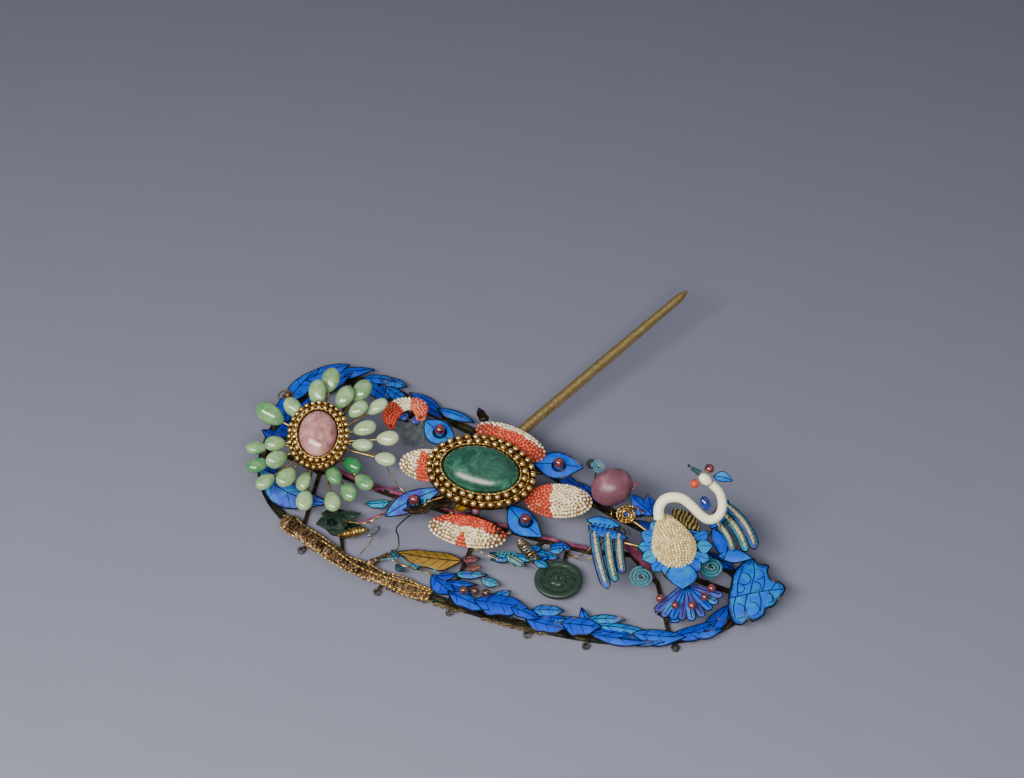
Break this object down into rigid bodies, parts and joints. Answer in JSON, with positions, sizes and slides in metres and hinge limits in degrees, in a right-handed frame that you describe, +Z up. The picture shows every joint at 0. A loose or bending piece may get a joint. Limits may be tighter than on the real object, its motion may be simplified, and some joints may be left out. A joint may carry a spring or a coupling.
{
  "type": "flower hair ornament",
  "caption": "Open leaf-shaped hair ornament of gilt metal with a chrysanthemum, a beaded flower, a crane, feather-covered leaves and a long hair pin.",
  "frame": {"origin": "on the table below the middle of the ornament's bounding box, so the pierced base plate lies on z = 0", "axes": "+X runs along the plate to the pointed end leaf, +Y runs across it to the side where the pin stands out, +Z points up from the table"},
  "size_m": [0.2058, 0.1703, 0.0363],
  "materials": {
    "gilt": "satin, fire-gilt silver worn to brown in the hollows",
    "feather": "kingfisher feather glued on gilt sheet, satin",
    "feather_light": "paler kingfisher feather on gilt sheet, satin",
    "coral": "strung coral seed beads, polished",
    "pearl": "strung seed pearls, lustrous",
    "pale_jade": "polished translucent jadeite",
    "deep_jade": "polished marbled green jadeite",
    "dark_jade": "carved dark green jade",
    "rose_quartz": "polished cloudy pink tourmaline",
    "garnet": "polished dark red bead",
    "amber": "carved amber, polished",
    "silk": "silk thread wound on wire",
    "ivory_thread": "pale silk thread wound on a core",
    "lapis": "polished deep blue drop",
    "enamel_blue": "blue and green thread wound on wire"
  },
  "bodies": {
    "root": {"base_plate": "gilt", "trunk": "gilt", "pin": "gilt", "eyelet_1": "gilt", "eyelet_2": "gilt", "eyelet_3": "gilt", "eyelet_4": "gilt", "eyelet_5": "gilt", "eyelet_6": "gilt", "leaves_arch": "feather", "leaf_left": "feather", "leaves_ruffled": "feather", "leaves_lance": "feather", "leaves_front": "feather", "leaves_front_right": "feather", "leaves_back": "feather", "end_leaf": "feather", "twigs": "feather_light", "jade_leaf": "dark_jade", "amber_leaf": "amber", "coiled_bud": "gilt", "jade_disc": "dark_jade", "silk_stems": "silk", "rose_stone": "rose_quartz", "rose_setting": "gilt", "petal_wires": "gilt", "jade_petals_inner": "pale_jade", "jade_petals_outer": "pale_jade", "green_stone": "deep_jade", "green_setting": "gilt", "petal_back": "coral", "petal_right": "coral", "petal_front": "coral", "petal_left": "coral", "feather_eye_1": "feather_light", "feather_eye_2": "feather_light", "feather_eye_3": "feather_light", "feather_eye_4": "feather_light", "eye_garnets": "garnet", "coral_bud": "coral", "front_garnets": "garnet", "pink_bead": "rose_quartz", "crane_body": "pearl", "crane_plumage": "feather_light", "crane_collar": "gilt", "crane_shoulder": "feather", "crane_wing_left": "feather_light", "crane_wing_right": "feather", "crane_tail": "feather", "tail_garnets": "garnet", "crane_neck": "ivory_thread", "crane_head": "ivory_thread", "crane_beak": "gilt", "crane_crest": "feather_light", "head_garnet": "garnet", "head_coral": "coral", "neck_drop": "lapis", "spiral_gold": "gilt", "spiral_blue": "enamel_blue", "spiral_green": "enamel_blue"}
  },
  "joints": []
}
